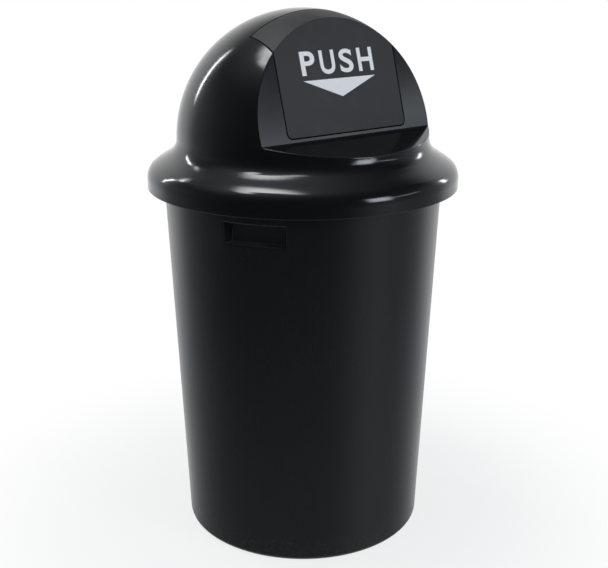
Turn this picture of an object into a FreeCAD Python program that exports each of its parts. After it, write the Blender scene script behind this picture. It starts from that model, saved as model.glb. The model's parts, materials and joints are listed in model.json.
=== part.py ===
import FreeCAD, Part
import math
import os

os.makedirs("parts", exist_ok=True)
Vec = FreeCAD.Vector

# Round waste bin with a lift-off dome lid and a push flap that swings into the dome.
# Millimetres. Origin on the floor under the middle of the tub, +Z up, the flap faces -Y.

# Tub: one moulding with a plain taper
tub_foot_radius = 167.0      # outside, at the floor
tub_mouth_radius = 188.8     # outside, at the rim
tub_height = 518.6           # top of the rim, where the lid sits
tub_wall = 2.6
tub_floor = 3.2
foot_round = 6.5
foot_ring_width = 14.0       # ring that the tub stands on
foot_ring_height = 5.0       # how far the floor is raised inside that ring
rim_overhang = 17.2          # how far the rolled rim stands out from the tub's side
rim_flat = 1.0               # level part of the rim's top outside of the tub's side
rim_lip = 8.4                # straight part of the rim under its round

# Finger pockets, one on each side under the rim
pocket_turn = -56.0          # degrees from the front, towards -X
pocket_drop = 45.6           # from the rim's top down to the pocket
pocket_height = 28.0
pocket_half_width = 42.6     # at the tub's outside
pocket_depth_top = 24.3
pocket_depth_bottom = 19.3
pocket_flare = 20.0          # degrees that each side opens outwards
pocket_corner = 4.0          # round of the two inner corners
pocket_edge_round = 1.5      # round of the mouth's edge

# Dome lid: one moulding
lid_wall = 2.5
skirt_clearance = 1.5        # between the rim and the skirt
skirt_height = 13.7
skirt_edge_round = 0.8
brim_clearance = 2.5         # between the rim's round and the brim's
brim_drop = 1.0              # how far the brim's round starts below the rim's
brim_slope = 34.0            # degrees above level
brim_flare = 4.0             # degrees steeper at both ends of that slope
brim_reach = 40.4            # from the dome's ball out to the skirt
neck_round = 23.6
dome_rise = 31.1             # from the rim's top up to the centre of the dome's ball
seat_setback = 0.6           # from the end of the rim's level top in to the ring that stands on it
seat_wall = 2.0

# Flat leaning front and ledge cut into the dome
crease_reach = 99.5          # from the axis forwards to the crease
crease_rise = 46.2           # from the rim's top up to the crease
front_lean = 16.58           # degrees that the front leans back
ledge_fall = 10.8            # degrees that the ledge falls outwards
front_edge_round = 1.6

# Push flap
flap_side_room = 21.8        # at the rod, from the flap's side out to the dome's inside
flap_gap = 1.8               # all round between the flap and the lid
flap_wall = 2.5
flap_edge_depth = 9.0        # turned-in edge
flap_corner = 7.0
sill_height = 4.5            # strip of the lid between the crease and the opening
flap_back = 19.9             # from the axis forwards to the flap's back edge

# Hinge
hinge_reach = 27.0           # from the axis forwards to the rod
hinge_drop = 53.3            # from the top of the dome down to the rod
rod_radius = 3.0
rod_end = 3.0                # rod past the lid's lug, in its cap
rod_chamfer = 0.6
running_clearance = 0.05
lug_room = 3.9               # from the flap's side to the lid's lug
lug_wall = 4.0
lug_radius = 8.0
lug_rise = 40.0
throat_half_width = 2.6      # snap-in slot under the lug's bore
ear_wall = 5.1               # flap's ear, from its side inwards
ear_boss_radius = 6.5
side_play = 0.3
cap_radius = 5.0
cap_end_wall = 1.6
cap_round = 0.8

# Stops behind the flap's lower corners
stop_low = 20.0              # from the crease, up the front
stop_width = 18.0
stop_outset = 10.9           # from the flap's side to the tab's end
stop_wall = 3.0
bumper_thickness = 2.0
bumper_radius = 4.2
bumper_outset = 5.9          # from the flap's side to the bumper
bumper_stem_radius = 1.8
bumper_stem_length = 4.2
bumper_clearance = 0.05

# Return springs
wire_radius = 0.8
coil_radius = 5.2            # to the middle of the wire
coil_pitch = 2.4
coil_turns = 6               # whole turns, less the angle between the two legs
coil_clearance = 1.9         # between the coil and the flap's ear
lid_leg_angle = 140.0        # degrees round the rod where the leg to the lid leaves
flap_leg_angle = 51.0
lid_leg_length = 36.0
flap_leg_length = 23.0
socket_radius = 3.0
socket_grip = 8.0            # length of wire that sits in a socket
socket_clearance = 0.05

overrun = 60.0               # how far every cutting body runs past what it cuts
touch = 0.01                 # how near a point counts as on a face

# Worked out from the sizes above
rim_radius = tub_mouth_radius + rim_overhang
rim_round = rim_overhang - rim_flat
pocket_top = tub_height - pocket_drop
skirt_radius = rim_radius + skirt_clearance + lid_wall
brim_round = rim_round + brim_clearance + lid_wall
lid_shoulder = tub_height - rim_round - brim_drop
lid_edge_height = lid_shoulder - skirt_height
dome_radius = skirt_radius - brim_reach
dome_centre = tub_height + dome_rise
seat_radius = tub_mouth_radius + rim_flat - seat_setback
crease_height = tub_height + crease_rise
hinge_rise = dome_radius - hinge_drop
hinge_room = math.sqrt((dome_radius - lid_wall) ** 2 - hinge_rise ** 2 - hinge_reach ** 2)
flap_half_width = hinge_room - flap_side_room
ear_inside = flap_half_width - ear_wall
lug_inside = flap_half_width + lug_room
rod_half_length = lug_inside + lug_wall + rod_end
stop_reach = flap_half_width + stop_outset
bumper_offset = flap_half_width + bumper_outset
coil_length = coil_pitch * (coil_turns + (flap_leg_angle - lid_leg_angle) / 360)
coil_inside = ear_inside - coil_clearance - wire_radius - coil_length

lean = math.radians(front_lean)
fall = math.radians(ledge_fall)
front_up = Vec(0, math.sin(lean), math.cos(lean))
front_out = Vec(0, -math.cos(lean), math.sin(lean))
ledge_out = Vec(0, -math.cos(fall), -math.sin(fall))
ledge_up = Vec(0, -math.sin(fall), math.cos(fall))
crease = Vec(0, -crease_reach, crease_height)
hinge = Vec(0, -hinge_reach, dome_centre + hinge_rise)
across = Vec(1, 0, 0)
upright = Vec(0, 0, 1)


def side_point(radius, height):
    return Vec(radius, 0, height)


def front_point(sideways, up, deep):
    """A point from the crease: sideways, up along the leaning front, and deep behind it."""
    return crease + across * sideways + front_up * up - front_out * deep


def line(a, b):
    return Part.LineSegment(a, b).toShape()


def arc(a, middle, b):
    return Part.Arc(a, middle, b).toShape()


def polygon(points):
    return Part.Face(Part.makePolygon(points + points[:1]))


def revolved(face):
    return face.revolve(Vec(0, 0, 0), upright, 360)


def bar(start, direction, length, radius):
    return Part.makeCylinder(radius, length, start, direction)


def mirrored(shape):
    return shape.mirror(Vec(0, 0, 0), across)


def both_sides(shape):
    return [shape, mirrored(shape)]


def tub_radius(height):
    return tub_foot_radius + (tub_mouth_radius - tub_foot_radius) * height / tub_height


def pocket_reach():
    """From the axis to the tub's outside, half way up a finger pocket."""
    return tub_radius(pocket_top - pocket_height / 2)


def pocket_outline(height, depth, growth):
    """Level outline of a finger pocket, in front of the +X axis, grown by a wall where asked."""
    flare = math.tan(math.radians(pocket_flare))
    side = growth / math.cos(math.radians(pocket_flare))
    outer = pocket_reach() + overrun
    inner = pocket_reach() - depth - growth
    outer_half = pocket_half_width + overrun * flare + side
    inner_half = pocket_half_width - (depth + growth) * flare + side
    points = [Vec(inner, -inner_half, height), Vec(outer, -outer_half, height),
              Vec(outer, outer_half, height), Vec(inner, inner_half, height)]
    return Part.makePolygon(points + points[:1])


def pockets(growth):
    bottom = pocket_outline(pocket_top - pocket_height - growth, pocket_depth_bottom, growth)
    top = pocket_outline(pocket_top + growth, pocket_depth_top, growth)
    one = Part.makeLoft([bottom, top], True, True)
    corners = [e for e in one.Edges
               if e.BoundBox.XMax < pocket_reach() and e.BoundBox.ZLength > pocket_height / 2]
    one = one.makeFillet(pocket_corner + growth, corners)
    one.rotate(Vec(0, 0, 0), upright, pocket_turn - 90)
    other = one.copy()
    other.rotate(Vec(0, 0, 0), upright, 180)
    return one.fuse(other)


def on_pocket_mouth(edge):
    """Whether an edge runs where a finger pocket meets the tub's outside."""
    points = edge.discretize(5)
    low = pocket_top - pocket_height - touch
    return all(low < p.z < pocket_top + touch
               and abs(math.hypot(p.x, p.y) - tub_radius(p.z)) < touch for p in points)


def rim_ring():
    """Rolled rim: level top, round shoulder and straight lip."""
    middle = rim_radius - rim_round
    shoulder = tub_height - rim_round
    low = shoulder - rim_lip
    slant = math.sin(math.radians(45))
    inside = tub_mouth_radius - tub_wall
    thin = rim_round - tub_wall
    centre = side_point(middle, shoulder)
    outer_mid = centre + side_point(rim_round * slant, rim_round * slant)
    inner_mid = centre + side_point(thin * slant, thin * slant)
    corners = [side_point(inside, tub_height), side_point(middle, tub_height),
               side_point(rim_radius, shoulder), side_point(rim_radius, low),
               side_point(rim_radius - tub_wall, low), side_point(rim_radius - tub_wall, shoulder),
               side_point(middle, tub_height - tub_wall), side_point(inside, tub_height - tub_wall)]
    edges = [line(corners[0], corners[1]), arc(corners[1], outer_mid, corners[2]),
             line(corners[2], corners[3]), line(corners[3], corners[4]), line(corners[4], corners[5]),
             arc(corners[5], inner_mid, corners[6]), line(corners[6], corners[7]),
             line(corners[7], corners[0])]
    return revolved(Part.Face(Part.Wire(edges)))


def tub():
    outside = revolved(polygon([side_point(0, 0), side_point(tub_foot_radius, 0),
                                side_point(tub_mouth_radius, tub_height), side_point(0, tub_height)]))
    foot = [e for e in outside.Edges if e.BoundBox.ZMax < foot_round and len(e.Vertexes) == 1]
    outside = outside.makeFillet(foot_round, foot)
    raised = Part.makeCylinder(tub_foot_radius - foot_ring_width, foot_ring_height)
    floor = foot_ring_height + tub_floor
    step = tub_foot_radius - foot_ring_width + tub_wall
    top = tub_height + overrun
    hollow = revolved(polygon([side_point(0, floor), side_point(step, floor), side_point(step, tub_floor),
                               side_point(tub_radius(tub_floor) - tub_wall, tub_floor),
                               side_point(tub_radius(top) - tub_wall, top), side_point(0, top)]))
    outside = outside.cut(raised).cut(pockets(0))
    outside = outside.makeFillet(pocket_edge_round, [e for e in outside.Edges if on_pocket_mouth(e)])
    hollow = hollow.cut(pockets(tub_wall))
    return outside.cut(hollow).fuse(rim_ring()).removeSplitter()


def neck_centre():
    """Centre of the neck's hollow round, which runs smoothly from the sloping brim into the dome."""
    slope = math.radians(brim_slope)
    start = side_point(skirt_radius - brim_round, lid_shoulder)
    start = start + side_point(math.sin(slope), math.cos(slope)) * (brim_round + neck_round)
    way = side_point(-math.cos(slope), math.sin(slope))
    gap = start - side_point(0, dome_centre)
    half = gap.dot(way)
    travel = -half - math.sqrt(half ** 2 - gap.dot(gap) + (dome_radius + neck_round) ** 2)
    return start + way * travel


def brim_swell(start, end, facing):
    """The brim's slope up to the neck: two equal arcs, square to the facing at both ends."""
    quarter = (end - start) / 4
    along = Vec(quarter).normalize()
    out = (facing - along * facing.dot(along)).normalize()
    lift = out * (quarter.Length * math.tan(math.asin(-facing.dot(along)) / 2))
    middle = start + quarter * 2
    return [arc(start, start + quarter + lift, middle), arc(middle, end - quarter - lift, end)]


def lid_profile(inset):
    """Half outline of the lid, moved in by the inset: skirt, brim, neck and dome."""
    low = lid_edge_height if inset == 0 else lid_edge_height - overrun
    turn = math.radians(90 - brim_slope - brim_flare)
    brim = side_point(skirt_radius - brim_round, lid_shoulder)
    neck = neck_centre()
    ball = side_point(0, dome_centre)
    to_ball = (ball - neck).normalize()
    neck_turn = math.atan2(-to_ball.z, -to_ball.x)
    brim_end = side_point(math.cos(turn), math.sin(turn))
    brim_mid = side_point(math.cos(turn / 2), math.sin(turn / 2))
    neck_mid = side_point(math.cos((turn + neck_turn) / 2), math.sin((turn + neck_turn) / 2))
    dome_mid = side_point(math.cos(math.pi / 4), math.sin(math.pi / 4))
    brim_size = brim_round - inset
    neck_size = neck_round + inset
    dome_size = dome_radius - inset
    skirt = skirt_radius - inset
    corners = [side_point(0, low), side_point(skirt, low), side_point(skirt, lid_shoulder),
               brim + brim_end * brim_size, neck - brim_end * neck_size, neck + to_ball * neck_size,
               ball + upright * dome_size]
    edges = [line(corners[0], corners[1]), line(corners[1], corners[2]),
             arc(corners[2], brim + brim_mid * brim_size, corners[3]),
             *brim_swell(corners[3], corners[4], brim_end),
             arc(corners[4], neck - neck_mid * neck_size, corners[5]),
             arc(corners[5], ball + dome_mid * dome_size, corners[6]), line(corners[6], corners[0])]
    return Part.Face(Part.Wire(edges))


def front_notch(inset):
    """What is cut from the dome in front of the leaning front and above the ledge."""
    far = dome_radius + overrun
    corner = crease - front_out * inset
    corner = corner - front_up * ((inset + (corner - crease).dot(ledge_up)) / front_up.dot(ledge_up))
    start = corner - across * far
    outline = polygon([start, start + front_up * far, start + front_up * far + front_out * far,
                       start + ledge_out * far])
    return outline.extrude(across * (far * 2))


def on_front_edge(edge):
    """Whether an edge bounds the leaning front or the ledge."""
    if edge.Degenerated:
        return False
    points = edge.discretize(5)
    on_front = all(abs((p - crease).dot(front_out)) < touch for p in points)
    on_ledge = all(abs((p - crease).dot(ledge_up)) < touch for p in points)
    return on_front or on_ledge


def lid_solid(inset):
    """The filled lid, moved in by the inset, with its leaning front and ledge."""
    whole = revolved(lid_profile(inset)).cut(front_notch(inset))
    if inset > 0:
        return whole
    whole = whole.makeFillet(front_edge_round, [e for e in whole.Edges if on_front_edge(e)])
    low = [e for e in whole.Edges if e.BoundBox.ZMax < lid_edge_height + touch]
    return whole.makeFillet(skirt_edge_round, low)


def flap_block(half_width, low, back, corner):
    """Straight-sided block with round lower corners that marks the flap or its opening."""
    far = dome_radius + overrun
    slant = corner * math.sin(math.radians(45))
    left = [front_point(-half_width, far, -overrun), front_point(-half_width, low + corner, -overrun),
            front_point(-half_width + corner - slant, low + corner - slant, -overrun),
            front_point(-half_width + corner, low, -overrun)]
    right = [front_point(half_width - corner, low, -overrun),
             front_point(half_width - corner + slant, low + corner - slant, -overrun),
             front_point(half_width, low + corner, -overrun), front_point(half_width, far, -overrun)]
    edges = [line(left[0], left[1]), arc(left[1], left[2], left[3]), line(left[3], right[0]),
             arc(right[0], right[1], right[2]), line(right[2], right[3]), line(right[3], left[0])]
    block = Part.Face(Part.Wire(edges)).extrude(front_out * (-overrun * 2))
    behind = Part.makeBox(far * 2, far, far * 2, Vec(-far, -back, crease_height - far))
    return block.cut(behind)


def opening_block():
    return flap_block(flap_half_width + flap_gap, sill_height, flap_back - flap_gap, flap_corner + flap_gap)


def lug(start, thickness):
    """Hinge lug: a round end at the rod and a straight plate up to the skin above."""
    place = hinge + across * start
    plate = Part.makeBox(thickness, lug_radius * 2, lug_rise, place - Vec(0, lug_radius, 0))
    return bar(place, across, thickness, lug_radius).fuse(plate)


def rod_bore():
    return bar(hinge - across * rod_half_length, across, rod_half_length * 2, rod_radius + running_clearance)


def coil_point(angle, start_angle):
    """Middle of the wire of the right spring, at an angle round the rod."""
    along = coil_inside + coil_pitch * (angle - start_angle) / 360
    turn = math.radians(angle)
    return hinge + Vec(along, coil_radius * math.cos(turn), coil_radius * math.sin(turn))


def coil_heading(angle):
    turn = math.radians(angle)
    heading = Vec(coil_pitch / (2 * math.pi), -coil_radius * math.sin(turn), coil_radius * math.cos(turn))
    return heading.normalize()


def coil_end():
    return flap_leg_angle + 360 * coil_turns


def lid_leg_tip():
    return coil_point(lid_leg_angle, lid_leg_angle) - coil_heading(lid_leg_angle) * lid_leg_length


def flap_leg_tip():
    return coil_point(coil_end(), lid_leg_angle) + coil_heading(coil_end()) * flap_leg_length


def biarc(a, heading_a, b, heading_b):
    """Two arcs that run smoothly from a to b with the given headings."""
    way = b - a
    both = heading_a + heading_b
    bend = 2 * (1 - heading_a.dot(heading_b))
    reach = (math.sqrt(way.dot(both) ** 2 + bend * way.dot(way)) - way.dot(both)) / bend
    first = a + heading_a * reach
    second = b - heading_b * reach
    joint = (first + second) * 0.5
    arcs = []
    for start, corner, end in ((a, first, joint), (joint, second, b)):
        weight = math.cos((corner - start).getAngle(end - start))
        middle = (start + corner * (2 * weight) + end) * (1 / (2 + 2 * weight))
        arcs.append(arc(start, middle, end))
    return arcs


def spring():
    """Right return spring: a leg in the lid's socket, the coil round the rod, a leg in the flap's socket."""
    start = lid_leg_angle
    steps = math.ceil((coil_end() - start) / 90)
    turn = (coil_end() - start) / steps
    edges = [line(lid_leg_tip(), coil_point(start, start))]
    for step in range(steps):
        a = start + turn * step
        b = a + turn
        edges += biarc(coil_point(a, start), coil_heading(a), coil_point(b, start), coil_heading(b))
    edges.append(line(coil_point(coil_end(), start), flap_leg_tip()))
    path = Part.Wire(edges)
    section = Part.Wire(Part.makeCircle(wire_radius, lid_leg_tip(), coil_heading(start)))
    return path.makePipeShell([section], True, False)


def spring_gap():
    """Least gap of the coil to itself, from turn to turn."""
    per_turn = 36
    count = int((coil_end() - lid_leg_angle) * per_turn / 360) + 1
    points = [coil_point(lid_leg_angle + step * 360 / per_turn, lid_leg_angle) for step in range(count)]
    return min((a - b).Length - wire_radius * 2
               for i, a in enumerate(points) for b in points[i + per_turn // 2:])


def lid_socket():
    """Boss under the dome, and the hole in it, for the spring's fixed leg."""
    heading = coil_heading(lid_leg_angle)
    tip = lid_leg_tip()
    boss = bar(tip + heading * socket_grip, heading * -1, overrun, socket_radius)
    hole = bar(tip + heading * overrun, heading * -1, overrun, wire_radius + socket_clearance)
    return boss, hole


def flap_socket():
    """Boss under the flap's curved strip, and the hole in it, for the spring's moving leg."""
    heading = coil_heading(coil_end())
    tip = flap_leg_tip()
    boss = bar(tip - heading * socket_grip, heading, overrun, socket_radius)
    hole = bar(tip - heading * flap_leg_length, heading, flap_leg_length, wire_radius + socket_clearance)
    return boss, hole


def lid():
    outside = lid_solid(0)
    shell = outside.cut(lid_solid(lid_wall)).cut(opening_block())
    trim = lid_solid(lid_wall / 2)
    seat = Part.makeCylinder(seat_radius, overrun, side_point(0, tub_height))
    seat = seat.cut(Part.makeCylinder(seat_radius - seat_wall, overrun, side_point(0, tub_height)))
    shell = shell.fuse(seat.common(trim))
    boss, hole = lid_socket()
    slot = Part.makeBox(rod_half_length * 2, throat_half_width * 2, lug_radius * 2,
                        hinge - Vec(rod_half_length, throat_half_width, lug_radius * 2))
    for piece in (lug(lug_inside, lug_wall).common(trim), boss.common(trim)):
        shell = shell.fuse(both_sides(piece))
    return shell.cut(both_sides(hole) + [rod_bore(), slot]).removeSplitter()


def stop_lug():
    """Tab behind the flap's right lower corner, with the hole for its bumper."""
    deep = lid_wall + bumper_thickness
    inside = flap_half_width - flap_wall
    outline = polygon([front_point(inside, stop_low, deep), front_point(stop_reach, stop_low, deep),
                       front_point(stop_reach, stop_low + stop_width, deep),
                       front_point(inside, stop_low + stop_width, deep)])
    tab = outline.extrude(front_out * -stop_wall)
    centre = front_point(bumper_offset, stop_low + stop_width / 2, 0)
    hole = bar(centre, front_out * -1, overrun, bumper_stem_radius + bumper_clearance)
    return tab.cut(hole)


def flap():
    low = sill_height + flap_gap
    block = flap_block(flap_half_width, low, flap_back, flap_corner)
    inner = flap_block(flap_half_width - flap_wall, low + flap_wall, flap_back + flap_wall,
                       flap_corner - flap_wall)
    trim = lid_solid(flap_wall / 2).common(block)
    tray = lid_solid(0).cut(lid_solid(flap_edge_depth)).common(block)
    tray = tray.cut(lid_solid(flap_wall).common(inner))
    boss, hole = flap_socket()
    ear = lug(ear_inside, flap_half_width - ear_inside).common(trim)
    sleeve = bar(hinge + across * ear_inside, across, lug_inside - side_play - ear_inside, ear_boss_radius)
    for piece in (ear, sleeve, boss.common(trim), stop_lug()):
        tray = tray.fuse(both_sides(piece))
    return tray.cut(both_sides(hole) + [rod_bore()]).removeSplitter()


def rod():
    whole = bar(hinge - across * rod_half_length, across, rod_half_length * 2, rod_radius)
    ends = [e for e in whole.Edges if len(e.Vertexes) == 1]
    return whole.makeChamfer(rod_chamfer, ends)


def rod_cap():
    """Push-on cap over the rod's right end, against the lug."""
    start = lug_inside + lug_wall
    length = rod_half_length + cap_end_wall - start
    whole = bar(hinge + across * start, across, length, cap_radius)
    rim = [e for e in whole.Edges if len(e.Vertexes) == 1 and e.CenterOfMass.x > start + length / 2]
    whole = whole.makeFillet(cap_round, rim)
    return whole.cut(bar(hinge, across, rod_half_length, rod_radius))


def bumper():
    """Soft bumper on the right stop: a flat pad and a stem through the tab."""
    centre = front_point(bumper_offset, stop_low + stop_width / 2, lid_wall)
    pad = bar(centre, front_out * -1, bumper_thickness, bumper_radius)
    stem = bar(centre, front_out * -1, bumper_thickness + bumper_stem_length, bumper_stem_radius)
    return pad.fuse(stem).removeSplitter()


def save(name, shape):
    solids = shape.Solids
    shape = solids[0] if len(solids) == 1 else shape
    print(name, "solids", len(solids), "valid", shape.isValid(), "mm3", round(shape.Volume))
    shape.exportStep("parts/" + name + ".step")


print("least gap of a spring to itself", round(spring_gap(), 3))
save("bin_tub", tub())
save("lid_dome", lid())
save("push_flap", flap())
save("hinge_rod", rod())
for name, make in (("rod_cap", rod_cap), ("return_spring", spring), ("flap_bumper", bumper)):
    save(name + "_right", make())
    save(name + "_left", mirrored(make()))
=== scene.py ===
import json
import math

import bmesh
import bpy
from mathutils import Matrix, Quaternion, Vector


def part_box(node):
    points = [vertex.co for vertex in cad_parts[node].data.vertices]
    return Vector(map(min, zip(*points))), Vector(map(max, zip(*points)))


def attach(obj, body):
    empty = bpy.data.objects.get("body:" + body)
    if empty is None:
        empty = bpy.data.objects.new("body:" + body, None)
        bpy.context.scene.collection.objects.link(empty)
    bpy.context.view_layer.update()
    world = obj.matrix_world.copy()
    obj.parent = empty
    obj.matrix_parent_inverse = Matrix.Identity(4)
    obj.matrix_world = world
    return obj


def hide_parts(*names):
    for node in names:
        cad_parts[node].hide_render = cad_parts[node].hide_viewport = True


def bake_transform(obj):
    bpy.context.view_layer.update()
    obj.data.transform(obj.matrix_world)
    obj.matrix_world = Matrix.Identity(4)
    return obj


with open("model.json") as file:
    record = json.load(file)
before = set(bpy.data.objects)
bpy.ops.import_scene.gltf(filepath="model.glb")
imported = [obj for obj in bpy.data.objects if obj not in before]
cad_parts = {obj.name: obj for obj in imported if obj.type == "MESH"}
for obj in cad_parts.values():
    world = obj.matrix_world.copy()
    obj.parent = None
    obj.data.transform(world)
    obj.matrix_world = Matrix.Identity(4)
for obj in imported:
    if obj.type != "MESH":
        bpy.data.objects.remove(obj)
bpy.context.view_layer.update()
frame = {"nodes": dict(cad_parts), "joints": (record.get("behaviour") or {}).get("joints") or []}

# Tub
# One black polypropylene injection moulding: a plain taper with a rolled rim, finger pockets and a
# ring to stand on. The mould is finely sanded, so the sides come out satin and show faint draw lines.


class Shade:
    """A socket in a node tree. Sums on it add Math nodes, and node() adds any other node."""

    def __init__(self, tree, socket=None):
        self.tree = tree
        self.socket = socket

    def node(self, kind, settings, sockets, output=0):
        """Adds a node: first its settings, then the values or links of its sockets."""
        made = self.tree.nodes.new(kind)
        for name, setting in settings.items():
            setattr(made, name, setting)
        for name, value in sockets.items():
            if isinstance(value, Shade):
                self.tree.links.new(value.socket, made.inputs[name])
            else:
                made.inputs[name].default_value = value
        return Shade(self.tree, made.outputs[output])

    def sum(self, operation, *terms):
        """Adds a Math node."""
        return self.node("ShaderNodeMath", {"operation": operation}, dict(enumerate(terms)))

    def __add__(self, other):
        return self.sum("ADD", self, other)

    def __radd__(self, other):
        return self.sum("ADD", other, self)

    def __sub__(self, other):
        return self.sum("SUBTRACT", self, other)

    def __rsub__(self, other):
        return self.sum("SUBTRACT", other, self)

    def __mul__(self, other):
        return self.sum("MULTIPLY", self, other)

    def __rmul__(self, other):
        return self.sum("MULTIPLY", other, self)

    def __pow__(self, other):
        return self.sum("POWER", self, other)

    def __rpow__(self, other):
        return self.sum("POWER", other, self)

    def __abs__(self):
        return self.sum("ABSOLUTE", self)


def new_finish(name):
    """A new material: gives it, its shader, and the place on the piece in metres."""
    finish = bpy.data.materials.new(name)
    finish.use_nodes = True
    place = Shade(finish.node_tree).node("ShaderNodeTexCoord", {}, {}, output="Object")
    return finish, finish.node_tree.nodes["Principled BSDF"], place


def feed(target, name, shade):
    """Links a shade to one of a node's sockets."""
    shade.tree.links.new(shade.socket, target.inputs[name])


def part_of(place, axis):
    """One coordinate of a place: X, Y or Z."""
    return place.node("ShaderNodeSeparateXYZ", {}, {"Vector": place}, output=axis)


def grain(place, size, detail, stretch=(1, 1, 1)):
    """Noise from 0 to 1 with blotches of about this size in metres, stretched along the axes."""
    scale = [1 / (size * along) for along in stretch]
    spread = place.node("ShaderNodeMapping", {"vector_type": "POINT"}, {"Vector": place, "Scale": scale})
    return place.node("ShaderNodeTexNoise", {}, {"Vector": spread, "Scale": 1.0, "Detail": detail})


def swing(noise, width):
    """Noise spread over this width, half of it above zero and half below."""
    return (noise - 0.5) * width


def rise(value, low, high):
    """Goes smoothly from 0 to 1 while the value goes from low to high."""
    ends = {"Value": value, "From Min": low, "From Max": high}
    return value.node("ShaderNodeMapRange", {"interpolation_type": "SMOOTHSTEP"}, ends)


def fall(value, low, high):
    """Goes smoothly from 1 to 0 while the value goes from low to high."""
    return 1 - rise(value, low, high)


def colours(share, first, second):
    """The first colour where the share is 0 and the second where it is 1."""
    # A Mix node has the same socket names for every kind of value, so its colours go by number.
    return share.node("ShaderNodeMix", {"data_type": "RGBA"}, {0: share, 6: first, 7: second}, output=2)


def relief(height, strength, depth):
    """Small relief for a shader's Normal; depth in metres."""
    return height.node("ShaderNodeBump", {}, {"Strength": strength, "Distance": depth, "Height": height})


def dress(piece, finish):
    """Gives a piece one finish all over."""
    piece.data.materials.clear()
    piece.data.materials.append(finish)


plastic_refraction = 1.5
tub_black = (0.0090, 0.0097, 0.0099, 1)
tub_scuff = (0.028, 0.028, 0.029, 1)
# The inside colour is paler than the black: a painted light that lifts the shade inside the tub and in
# its pockets.
tub_inside_painted_light = (0.022, 0.023, 0.025, 1)
# The pocket floor colour is a painted light that lifts the shade under the rim.
pocket_floor_painted_light = (0.06, 0.06, 0.058, 1)
tub_roughness = 0.26
tub_worn_roughness = 0.25
tub_core_roughness = 0.2

# A band holds where a mask begins and ends, here in metres past the surface that the mask follows.
tub_foot_radius = 0.167
tub_mouth_radius = 0.1888
tub_height = 0.5186
tub_skin_band = (-0.0022, -0.0010)
tub_floor_band = (0.007, 0.012)
pocket_turn = math.radians(-56)
pocket_reach = 0.1859
pocket_depth = 0.0243
pocket_half_width = 0.0426
pocket_flare = math.tan(math.radians(20))
pocket_floor = 0.445
pocket_top = 0.473
pocket_back_band = (-0.006, -0.003)
pocket_side_band = (0.0004, 0.0012)
pocket_end_band = (-0.0018, -0.0010)
pocket_floor_band = (-0.0010, -0.0002)
pocket_floor_light_band = (0.0004, 0.0016)
pocket_top_band = (0.0002, 0.0010)

tub_sand_size = 0.0007
tub_sand_swing = 0.06
tub_sand_relief_share = 0.8
draw_line_size = 0.004
draw_line_stretch = (1, 1, 60)
draw_line_swing = 0.02
draw_line_relief_share = 0.1
tub_cloud_size = 0.16
tub_cloud_swing = 0.08
tub_cloud_share = 0.06
scratch_size = 0.0035
scratch_stretch = (1.5, 1.5, 0.12)
scratch_band = (0.72, 0.78)
scratch_share = 0.10
scratch_relief_share = 0.3
foot_rub_size = 0.006
foot_rub_height_band = (0.002, 0.045)
foot_rub_share = 0.55
rub_band = (0.45, 0.7)
tub_relief_strength = 0.08
tub_relief_depth = 0.00012

tub_finish, shader, place = new_finish("satin_black_tub")
right, back, height = [part_of(place, axis) for axis in "XYZ"]
sanding = grain(place, tub_sand_size, detail=3)
draw_lines = grain(place, draw_line_size, detail=2, stretch=draw_line_stretch)
clouds = grain(place, tub_cloud_size, detail=2)
scratches = rise(grain(place, scratch_size, detail=1, stretch=scratch_stretch), *scratch_band)
foot_rub = fall(height, *foot_rub_height_band) * rise(grain(place, foot_rub_size, detail=4), *rub_band)
worn = foot_rub * foot_rub_share + scratches * scratch_share

# The inside lies against the core of the mould, so it is duller, and so are the pockets. Both are also
# painted paler than the black, a painted light that lifts their shade.
taper = tub_foot_radius + height * ((tub_mouth_radius - tub_foot_radius) / tub_height)
past_taper = (right ** 2 + back ** 2) ** 0.5 - taper
core = fall(past_taper, *tub_skin_band) * rise(height, *tub_floor_band)

# The painted light is left off the ends of a pocket, so they stay as black as the outside and look
# shaded, a painted shade, and a brighter painted light lies on the pocket's floor.
outwards = abs(right * math.sin(pocket_turn) - back * math.cos(pocket_turn))
sideways = abs(right * math.cos(pocket_turn) + back * math.sin(pocket_turn))
past_back = outwards - (pocket_reach - pocket_depth)
past_end = sideways + (pocket_reach - outwards) * pocket_flare - pocket_half_width
pocket = (rise(past_back, *pocket_back_band) * fall(past_end, *pocket_side_band)
          * rise(height - pocket_floor, *pocket_floor_band) * fall(height - pocket_top, *pocket_top_band))
pocket_ends = pocket * rise(past_end, *pocket_end_band)
painted_floor_light = pocket * core * fall(height - pocket_floor, *pocket_floor_light_band)
core = core * (1 - pocket_ends)

outside = colours(worn + clouds * tub_cloud_share, tub_black, tub_scuff)
# The inside and the pockets take the paler painted light, and the pocket floor a brighter painted light.
feed(shader, "Base Color", colours(painted_floor_light, colours(core, outside, tub_inside_painted_light), pocket_floor_painted_light))
feed(shader, "Roughness", tub_roughness + swing(sanding, tub_sand_swing) + swing(clouds, tub_cloud_swing)
     + swing(draw_lines, draw_line_swing) + worn * tub_worn_roughness + core * tub_core_roughness)
skin = (sanding * tub_sand_relief_share + draw_lines * draw_line_relief_share
        - scratches * scratch_relief_share)
feed(shader, "Normal", relief(skin, tub_relief_strength, tub_relief_depth))
shader.inputs["IOR"].default_value = plastic_refraction
dress(frame["nodes"]["bin_tub"], tub_finish)

# Dome lid
# One black moulding, polished outside and satin inside: skirt, brim, hollow neck and a ball dome
# with a leaning front cut into it. It stands loose on the rim, by the ring under its brim.

lid_black = (0.0070, 0.0077, 0.0086, 1)
lid_scuff = (0.018, 0.018, 0.019, 1)
lid_core = (0.016, 0.0165, 0.0175, 1)
lid_roughness = 0.11
lid_worn_roughness = 0.3
lid_front_roughness = 0.07
lid_core_roughness = 0.2

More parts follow.
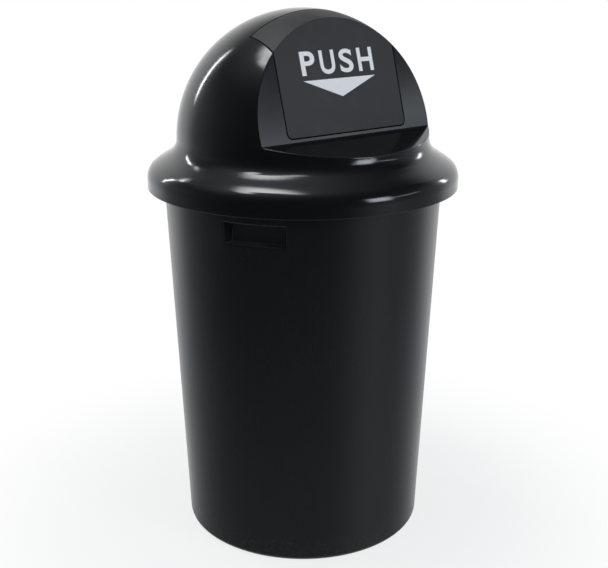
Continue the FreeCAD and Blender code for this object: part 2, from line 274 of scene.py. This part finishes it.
dome_centre = 0.5497
dome_radius = 0.1696
crease = Vector((0, -0.0995, 0.5648))
front_lean = math.radians(16.58)
skirt_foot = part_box("lid_dome")[0].z
lid_skin_band = (-0.0018, -0.0010)
front_skin_band = (-0.002, -0.0006)
front_foot_band = (-0.002, 0)
ledge_height_band = (0.001, 0.003)
ledge_back_band = (0, 0.002)

polish_size = 0.0011
polish_swing = 0.03
polish_relief_share = 0.2
ripple_size = 0.012
ripple_relief_share = 0.8
lid_cloud_size = 0.11
lid_cloud_swing = 0.06
lid_cloud_share = 0.05
hairline_size = 0.0028
hairline_stretch = (0.10, 1.6, 1.6)
hairline_band = (0.73, 0.78)
hairline_share = 0.06
hairline_relief_share = 0.2
edge_rub_size = 0.005
edge_rub_height_band = (0.0005, 0.006)
edge_rub_share = 0.25
lid_relief_strength = 0.03
lid_relief_depth = 0.0002

lid_finish, shader, place = new_finish("glossy_black_lid")
right, back, height = [part_of(place, axis) for axis in "XYZ"]
polish = grain(place, polish_size, detail=2)
ripple = grain(place, ripple_size, detail=2)
clouds = grain(place, lid_cloud_size, detail=3)
hairlines = rise(grain(place, hairline_size, detail=1, stretch=hairline_stretch), *hairline_band)
edge_rub = fall(height - skirt_foot, *edge_rub_height_band)
edge_rub = edge_rub * rise(grain(place, edge_rub_size, detail=3), *rub_band)
worn = edge_rub * edge_rub_share + hairlines * hairline_share

# The leaning front is a little less polished than the dome.
front_plane = crease.z * math.sin(front_lean) - crease.y * math.cos(front_lean)
past_front = height * math.sin(front_lean) - back * math.cos(front_lean) - front_plane
front = rise(past_front, *front_skin_band) * rise(height - crease.z, *front_foot_band)

# The inside is all that lies within the ball and behind the front, but not the ledge before it.
past_dome = (right ** 2 + back ** 2 + (height - dome_centre) ** 2) ** 0.5 - dome_radius
ledge = fall(height - crease.z, *ledge_height_band) * fall(back - crease.y, *ledge_back_band)
core = fall(past_dome, *lid_skin_band) * fall(past_front, *lid_skin_band) * (1 - ledge)

outside = colours(worn + clouds * lid_cloud_share, lid_black, lid_scuff)
feed(shader, "Base Color", colours(core, outside, lid_core))
feed(shader, "Roughness", lid_roughness + swing(polish, polish_swing) + swing(clouds, lid_cloud_swing)
     + worn * lid_worn_roughness + front * lid_front_roughness + core * lid_core_roughness)
skin = ripple * ripple_relief_share + polish * polish_relief_share - hairlines * hairline_relief_share
feed(shader, "Normal", relief(skin, lid_relief_strength, lid_relief_depth))
shader.inputs["IOR"].default_value = plastic_refraction
dress(frame["nodes"]["lid_dome"], lid_finish)

# Hinge rod
# Drawn bright steel rod across the dome, cut to length with a small chamfer at each end. It snaps
# up into the lid's two lugs and carries the flap.

rod_grey = (0.52, 0.52, 0.53, 1)
rod_tarnish = (0.34, 0.33, 0.32, 1)
rod_roughness = 0.24
rod_drawing_size = 0.0006
rod_drawing_stretch = (40, 1, 1)
rod_drawing_roughness = 0.14
tarnish_size = 0.009
tarnish_band = (0.55, 0.8)
tarnish_share = 0.6
tarnish_roughness = 0.2
rod_relief_strength = 0.15
rod_relief_depth = 0.00004

rod_finish, shader, place = new_finish("drawn_steel_rod")
drawing = grain(place, rod_drawing_size, detail=2, stretch=rod_drawing_stretch)
spots = rise(grain(place, tarnish_size, detail=4), *tarnish_band)
feed(shader, "Base Color", colours(spots * tarnish_share, rod_grey, rod_tarnish))
feed(shader, "Roughness", rod_roughness + drawing * rod_drawing_roughness + spots * tarnish_roughness)
feed(shader, "Normal", relief(drawing, rod_relief_strength, rod_relief_depth))
shader.inputs["Metallic"].default_value = 1.0
dress(frame["nodes"]["hinge_rod"], rod_finish)

# Rod caps
# Small moulded caps pushed over the ends of the rod against the lugs, so that it can't slide out.
# They are plain black plastic, a little rubbed.

cap_black = (0.018, 0.018, 0.019, 1)
cap_pale = (0.045, 0.045, 0.045, 1)
cap_roughness = 0.38
cap_mould_size = 0.0006
cap_mould_roughness = 0.12
cap_rub_size = 0.004
cap_rub_band = (0.55, 0.75)
cap_rub_share = 0.5
cap_rub_roughness = 0.1
cap_relief_strength = 0.15
cap_relief_depth = 0.00006

cap_finish, shader, place = new_finish("moulded_rod_cap")
mould = grain(place, cap_mould_size, detail=3)
rubbed = rise(grain(place, cap_rub_size, detail=3), *cap_rub_band)
feed(shader, "Base Color", colours(rubbed * cap_rub_share, cap_black, cap_pale))
feed(shader, "Roughness", cap_roughness + mould * cap_mould_roughness + rubbed * cap_rub_roughness)
feed(shader, "Normal", relief(mould, cap_relief_strength, cap_relief_depth))
for side in ("left", "right"):
    dress(frame["nodes"]["rod_cap_" + side], cap_finish)

# Return springs
# Two torsion springs wound from drawn spring wire round the rod. One leg sits in a socket under the
# dome and the other in a socket under the flap, so each coil winds up as the flap is pushed in.

wire_radius = 0.0008
wire_sides = 14
coil_radius = 0.0052
coil_pitch = 0.0024
coil_turns = 6
coil_inside = 0.0735
lid_leg_angle = math.radians(140)
flap_leg_angle = math.radians(51)
lid_leg_length = 0.036
flap_leg_length = 0.023
points_per_turn = 36
hinge = Vector(next(joint["pos_m"] for joint in frame["joints"] if joint["name"] == "flap_swing"))

wire_grey = (0.40, 0.40, 0.41, 1)
wire_dark = (0.16, 0.155, 0.15, 1)
wire_roughness = 0.26
wire_drawing_size = 0.0004
wire_drawing_stretch = (1, 1, 6)
wire_drawing_roughness = 0.12
oil_size = 0.005
oil_band = (0.5, 0.75)
oil_share = 0.7
oil_shine = 0.06
wire_relief_strength = 0.12
wire_relief_depth = 0.00003

wire_finish, shader, place = new_finish("drawn_spring_wire")
drawing = grain(place, wire_drawing_size, detail=2, stretch=wire_drawing_stretch)
oil = rise(grain(place, oil_size, detail=3), *oil_band)
feed(shader, "Base Color", colours(oil * oil_share, wire_grey, wire_dark))
feed(shader, "Roughness", wire_roughness + drawing * wire_drawing_roughness - oil * oil_shine)
feed(shader, "Normal", relief(drawing, wire_relief_strength, wire_relief_depth))
shader.inputs["Metallic"].default_value = 1.0


def coil_point(angle, side):
    """Middle of the wire at an angle round the rod, counted on through the turns."""
    along = coil_inside + coil_pitch * (angle - lid_leg_angle) / math.tau
    return hinge + Vector((side * along, coil_radius * math.cos(angle), coil_radius * math.sin(angle)))


def coil_heading(angle, side):
    """Direction in which the wire runs on at that angle."""
    around = Vector((0, -math.sin(angle), math.cos(angle))) * coil_radius
    return (around + Vector((side * coil_pitch / math.tau, 0, 0))).normalized()


def wire_tree():
    """Geometry nodes that lay a round wire along a path."""
    tree = bpy.data.node_groups.new("wound_wire", "GeometryNodeTree")
    tree.interface.new_socket("Path", in_out="INPUT", socket_type="NodeSocketGeometry")
    for name, kind in (("Wire Radius", "NodeSocketFloat"), ("Sides", "NodeSocketInt"),
                       ("Finish", "NodeSocketMaterial")):
        tree.interface.new_socket(name, in_out="INPUT", socket_type=kind)
    tree.interface.new_socket("Wire", in_out="OUTPUT", socket_type="NodeSocketGeometry")
    given = tree.nodes.new("NodeGroupInput").outputs
    section = tree.nodes.new("GeometryNodeCurvePrimitiveCircle")
    tube = tree.nodes.new("GeometryNodeCurveToMesh")
    tube.inputs["Fill Caps"].default_value = True
    smooth = tree.nodes.new("GeometryNodeSetShadeSmooth")
    real = tree.nodes.new("GeometryNodeRealizeInstances")
    painted = tree.nodes.new("GeometryNodeSetMaterial")
    result = tree.nodes.new("NodeGroupOutput")
    for start, end in ((given["Wire Radius"], section.inputs["Radius"]),
                       (given["Sides"], section.inputs["Resolution"]),
                       (given["Path"], tube.inputs["Curve"]),
                       (section.outputs["Curve"], tube.inputs["Profile Curve"]),
                       (tube.outputs["Mesh"], smooth.inputs["Geometry"]),
                       (smooth.outputs["Geometry"], real.inputs["Geometry"]),
                       (real.outputs["Geometry"], painted.inputs["Geometry"]),
                       (given["Finish"], painted.inputs["Material"]),
                       (painted.outputs["Geometry"], result.inputs["Wire"])):
        tree.links.new(start, end)
    return tree


def plain_mesh(source, name):
    """What an object shows with its modifiers, as a new plain mesh object; the source goes away."""
    shown = source.evaluated_get(bpy.context.evaluated_depsgraph_get())
    piece = bpy.data.objects.new(name, bpy.data.meshes.new_from_object(shown))
    bpy.data.objects.remove(source)
    bpy.context.scene.collection.objects.link(piece)
    return piece


wire = wire_tree()
sockets = {item.name: item.identifier for item in wire.interface.items_tree}
coil_end = flap_leg_angle + math.tau * coil_turns
steps = math.ceil((coil_end - lid_leg_angle) / math.tau * points_per_turn)
angles = [lid_leg_angle + (coil_end - lid_leg_angle) * step / steps for step in range(steps + 1)]
for name, side in (("left", -1), ("right", 1)):
    route = [coil_point(angle, side) for angle in angles]
    route.insert(0, route[0] - coil_heading(lid_leg_angle, side) * lid_leg_length)
    route.append(route[-1] + coil_heading(coil_end, side) * flap_leg_length)
    path = bpy.data.curves.new("spring_path_" + name, "CURVE")
    path.dimensions = "3D"
    spline = path.splines.new("POLY")
    spline.points.add(len(route) - 1)
    for point, spot in zip(spline.points, route):
        point.co = (*spot, 1)
    carrier = bpy.data.objects.new("spring_path_" + name, path)
    bpy.context.scene.collection.objects.link(carrier)
    winding = carrier.modifiers.new("winding", "NODES")
    winding.node_group = wire
    winding[sockets["Wire Radius"]] = wire_radius
    winding[sockets["Sides"]] = wire_sides
    winding[sockets["Finish"]] = wire_finish
    spring = plain_mesh(carrier, "wound_spring_" + name)
    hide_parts("return_spring_" + name)
    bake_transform(spring)

# Push flap
# Charcoal moulding with a spark-eroded matte skin: a flat leaning panel that runs on over the dome
# as a curved strip, with turned-in edges, ears for the rod and tabs behind its lower corners.

flap_charcoal = (0.0215, 0.0216, 0.0230, 1)
flap_pale = (0.075, 0.075, 0.077, 1)
flap_roughness = 0.56
erosion_size = 0.0008
erosion_swing = 0.16
erosion_start = 0.3
erosion_share = 0.12
flap_cloud_size = 0.05
flap_cloud_swing = 0.08
touch_size = 0.02
touch_band = (0.45, 0.75)
touch_square_band = (0.0004, 0.006)
touch_share = 0.05
touch_shine = 0.08
flap_relief_strength = 0.22
flap_relief_depth = 0.00016

flap_finish, shader, place = new_finish("matte_charcoal_flap")
erosion = grain(place, erosion_size, detail=4)
clouds = grain(place, flap_cloud_size, detail=3)

# Hands polish the middle of the panel a little, less and less by the square of the distance from it.
touched = rise(grain(place, touch_size, detail=3), *touch_band)
touched = touched * fall(part_of(place, "X") ** 2, *touch_square_band)
paleness = (erosion - erosion_start) * erosion_share + touched * touch_share
feed(shader, "Base Color", colours(paleness, flap_charcoal, flap_pale))
feed(shader, "Roughness", flap_roughness + swing(erosion, erosion_swing) + swing(clouds, flap_cloud_swing)
     - touched * touch_shine)
feed(shader, "Normal", relief(erosion, flap_relief_strength, flap_relief_depth))
dress(frame["nodes"]["push_flap"], flap_finish)

# Print on the flap
# A plain word for where to press, over a plain triangle that points down, screen printed on the
# panel in pale grey ink. The ink stands a few hundredths of a millimetre proud of the panel.

ink_half_thickness = 0.00005
letter_height = 0.030
letter_foot = 0.0808
letter_swell = 0.022
letter_lefts = {"P": -0.0580, "U": -0.0277, "S": 0.0036, "H": 0.0335}
letter_widths = {"P": 0.0225, "U": 0.0237, "S": 0.0218, "H": 0.0249}
arrow_half_width = 0.0582
arrow_top = 0.0745
arrow_point = 0.0514

ink_grey = (0.88, 0.88, 0.87, 1)
ink_thin = (0.69, 0.69, 0.68, 1)
ink_roughness = 0.46
screen_size = 0.0006
screen_swing = 0.15
screen_roughness_swing = 0.14
thin_spot_size = 0.0025
thin_spot_band = (0.62, 0.78)
thin_spot_share = 0.8
ink_relief_strength = 0.12
ink_relief_depth = 0.00004

ink_finish, shader, place = new_finish("screen_printed_ink")
screen_marks = grain(place, screen_size, detail=2)
thin_spots = rise(grain(place, thin_spot_size, detail=4), *thin_spot_band)
thinness = thin_spots * thin_spot_share + swing(screen_marks, screen_swing)
feed(shader, "Base Color", colours(thinness, ink_grey, ink_thin))
feed(shader, "Roughness", ink_roughness + swing(screen_marks, screen_roughness_swing))
feed(shader, "Normal", relief(screen_marks, ink_relief_strength, ink_relief_depth))

panel = Matrix.Translation(crease) @ Matrix.Rotation(math.pi / 2 - front_lean, 4, "X")
word_mesh = bmesh.new()
for letter, left in letter_lefts.items():
    lettering = bpy.data.curves.new("press_letter", "FONT")
    lettering.body = letter
    lettering.offset = letter_swell
    lettering.extrude = 1.0
    outline = bpy.data.objects.new("press_letter_outline", lettering)
    bpy.context.scene.collection.objects.link(outline)
    stamp = plain_mesh(outline, "press_letter")
    low = Vector(min(vertex.co[axis] for vertex in stamp.data.vertices) for axis in range(3))
    high = Vector(max(vertex.co[axis] for vertex in stamp.data.vertices) for axis in range(3))
    wider = letter_widths[letter] / (high.x - low.x)
    taller = letter_height / (high.y - low.y)
    fit = Matrix.Diagonal((wider, taller, ink_half_thickness, 1))
    stamp.data.transform(fit @ Matrix.Translation((-low.x, -low.y, 0)))
    stamp.data.transform(panel @ Matrix.Translation((left, letter_foot, 0)))
    word_mesh.from_mesh(stamp.data)
    bpy.data.objects.remove(stamp)
word = bpy.data.objects.new("press_word", bpy.data.meshes.new("press_word"))
word_mesh.to_mesh(word.data)
word_mesh.free()
bpy.context.scene.collection.objects.link(word)

arrow_outline = ((-arrow_half_width, arrow_top), (0, arrow_point), (arrow_half_width, arrow_top))
arrow_mesh = bpy.data.meshes.new("press_arrow")
arrow_mesh.from_pydata([panel @ Vector((x, y, z)) for z in (-ink_half_thickness, ink_half_thickness)
                        for x, y in arrow_outline], [],
                       [(2, 1, 0), (3, 4, 5), (0, 1, 4, 3), (1, 2, 5, 4), (2, 0, 3, 5)])
arrow = bpy.data.objects.new("press_arrow", arrow_mesh)
bpy.context.scene.collection.objects.link(arrow)
for print_piece in (word, arrow):
    dress(print_piece, ink_finish)
    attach(print_piece, "flap")

# Bumpers
# Two soft black rubber buttons pressed by their stems into the tabs behind the flap's lower corners.
# They meet the back of the lid's front, so the flap closes quietly.

rubber_black = (0.024, 0.024, 0.024, 1)
rubber_bloom = (0.06, 0.06, 0.058, 1)
rubber_roughness = 0.72
rubber_skin_size = 0.0005
rubber_skin_roughness = 0.16
bloom_size = 0.003
bloom_band = (0.45, 0.75)
bloom_share = 0.5
rubber_relief_strength = 0.2
rubber_relief_depth = 0.00006

rubber_finish, shader, place = new_finish("soft_black_rubber")
skin = grain(place, rubber_skin_size, detail=3)
bloom = rise(grain(place, bloom_size, detail=4), *bloom_band)
feed(shader, "Base Color", colours(bloom * bloom_share, rubber_black, rubber_bloom))
feed(shader, "Roughness", rubber_roughness + skin * rubber_skin_roughness)
feed(shader, "Normal", relief(skin, rubber_relief_strength, rubber_relief_depth))
for side in ("left", "right"):
    dress(frame["nodes"]["flap_bumper_" + side], rubber_finish)

# Studio
# A plain white floor and surroundings, soft lamps round the bin, and the camera where it stood. The
# floor keeps the bin's shadow, and polished plastic shows white behind the bin and a dim room in front.

camera_place = Vector((-0.8481, -1.1264, 0.7969))
camera_aim = Vector((0.0012, -0.0009, 0.3415))
camera_lens = 62.2
camera_film_width = 36

camera = bpy.data.objects.new("camera", bpy.data.cameras.new("camera"))
camera.data.lens = camera_lens
camera.data.sensor_width = camera_film_width
camera.location = camera_place
camera.rotation_euler = (camera_aim - camera_place).to_track_quat("-Z", "Y").to_euler()
bpy.context.scene.collection.objects.link(camera)
bpy.context.scene.camera = camera

floor_half_size = 6.0
floor_grey = (0.86, 0.86, 0.86, 1)
floor_roughness = 0.9
floor_shadow_band = (0.24, 0.6)
floor_shadow_share = 0.22

floor_mesh = bpy.data.meshes.new("floor")
floor_mesh.from_pydata([(x * floor_half_size, y * floor_half_size, 0)
                        for x, y in ((-1, -1), (1, -1), (1, 1), (-1, 1))], [], [(0, 1, 2, 3)])
floor = bpy.data.objects.new("floor", floor_mesh)
bpy.context.scene.collection.objects.link(floor)
floor.visible_glossy = False


def rays(tree, kind):
    """1 for rays of this kind and 0 for the others."""
    return Shade(tree).node("ShaderNodeLightPath", {}, {}, output=kind)


# The camera sees the floor as plain white, with a share of its real shading near the bin.
floor_finish, shader, place = new_finish("white_floor")
tree = floor_finish.node_tree
shader.inputs["Base Color"].default_value = floor_grey
shader.inputs["Roughness"].default_value = floor_roughness
shader.inputs["Specular IOR Level"].default_value = 0.0
away = (part_of(place, "X") ** 2 + part_of(place, "Y") ** 2) ** 0.5
seen = rays(tree, "Is Camera Ray") + rays(tree, "Is Transmission Ray")
whiteness = seen * (1 - fall(away, *floor_shadow_band) * floor_shadow_share)
shaded = Shade(tree, shader.outputs["BSDF"])
white = place.node("ShaderNodeEmission", {}, {})
shown = place.node("ShaderNodeMixShader", {}, {0: whiteness, 1: shaded, 2: white})
feed(tree.nodes["Material Output"], "Surface", shown)
dress(floor, floor_finish)

# Bands of the surroundings run from -1 straight down to 1 straight up, or from 0 before to 1 behind.
room_light = 0.385
room_tint = (0.94, 1.0, 1.08, 1)
room_white = (1, 1, 1, 1)
white_focus = 1.5
back_wall_focus = 2.5
back_wall_top_band = (0.2, 0.68)
back_wall_foot_band = (-0.6, -0.44)
back_wall_foot_share = 0.3
plain_white_band = (0.68, 0.85)
plain_white_top_band = (0.3, 0.9)
plain_white_foot_band = (-0.45, -0.25)
side_line = Vector((0.40, -0.86, -0.31))
side_wall_focus = 31
side_wall_light = 0.4
overhead_line = Vector((-0.16, 0.22, 0.962))
overhead_focus = 16
overhead_glow = 0.6
floor_glow_band = (-0.54, -0.38)
floor_glow = 0.16
near_floor_band = (-0.9, -0.55)
near_floor_glow = 0.4

world = bpy.data.worlds.new("white_studio")
world.use_nodes = True
tree = world.node_tree
way = Shade(tree).node("ShaderNodeTexCoord", {}, {}, output="Generated")
right, back, up = [part_of(way, axis) for axis in "XYZ"]


def facing(line):
    """1 along this line, 0.5 square to it and 0 against it."""
    return (right * line.x + back * line.y + up * line.z) * 0.5 + 0.5


behind = facing((camera_aim - camera_place).to_2d().normalized().to_3d())
back_wall = (behind ** back_wall_focus * fall(up, *back_wall_top_band)
             * (back_wall_foot_share + rise(up, *back_wall_foot_band) * (1 - back_wall_foot_share)))
plain_white = (rise(behind, *plain_white_band) * fall(up, *plain_white_top_band)
               * rise(up, *plain_white_foot_band))
backdrop = (back_wall + (1 - back_wall) * plain_white
            + facing(side_line) ** side_wall_focus * side_wall_light
            + facing(overhead_line) ** overhead_focus * overhead_glow
            + fall(up, *floor_glow_band) * floor_glow
            + fall(up, *near_floor_band) * near_floor_glow)
seen = rays(tree, "Is Camera Ray") + rays(tree, "Is Transmission Ray")
mirrored = rays(tree, "Is Glossy Ray")
strength = seen + mirrored * backdrop + (1 - seen - mirrored) * room_light
whiteness = seen + mirrored * behind ** white_focus
feed(tree.nodes["Background"], "Strength", strength)
feed(tree.nodes["Background"], "Color", colours(whiteness, room_tint, room_white))
bpy.context.scene.world = world

# Places on a lamp's own face run from 0 to 1 both ways.
lamp_aim = Vector((0, 0, 0.55))
lamp_middle = 0.5
window_tint = (0.90, 0.97, 1.08)


def lamp(name, turn, tilt, distance, width, length, power, lean=0, tint=(1, 1, 1)):
    """Softbox that faces the lid and fades to its edges.

    In degrees, it is turned from the front towards +X, tilted above level and leans to one side.
    """
    turn, tilt, lean = [math.radians(angle) for angle in (turn, tilt, lean)]
    out = Vector((math.sin(turn) * math.cos(tilt), -math.cos(turn) * math.cos(tilt), math.sin(tilt)))
    light = bpy.data.lights.new(name, "AREA")
    light.shape = "RECTANGLE"
    light.size = width
    light.size_y = length
    light.energy = power
    light.color = tint
    light.use_nodes = True
    spot = Shade(light.node_tree).node("ShaderNodeNewGeometry", {}, {}, output="Parametric")
    across, along = [fall((part_of(spot, axis) - lamp_middle) ** 2, 0, lamp_middle ** 2) for axis in "XY"]
    feed(light.node_tree.nodes["Emission"], "Strength", across * along)
    stand = bpy.data.objects.new(name, light)
    stand.location = lamp_aim + out * distance
    stand.rotation_euler = ((-out).to_track_quat("-Z", "Y") @ Quaternion((0, 0, 1), lean)).to_euler()
    stand.visible_camera = False
    bpy.context.scene.collection.objects.link(stand)


lamp("overhead_softbox", turn=-116, tilt=76.8, distance=2.0, width=1.45, length=0.6, power=30, lean=48)
lamp("overhead_edge", turn=-112, tilt=62.5, distance=2.0, width=0.5, length=0.3, power=4.2)
lamp("back_strip", turn=-162, tilt=25, distance=2.3, width=0.075, length=1.4, power=11, lean=18)
lamp("side_softbox", turn=17.5, tilt=15, distance=2.4, width=0.95, length=1.1, power=27, tint=window_tint)
lamp("side_panel", turn=38, tilt=15.6, distance=2.6, width=1.6, length=0.2, power=3.2, tint=window_tint)
lamp("right_strip", turn=86, tilt=13, distance=2.4, width=0.3, length=0.7, power=8, tint=window_tint)
bpy.context.scene.view_settings.view_transform = "Standard"
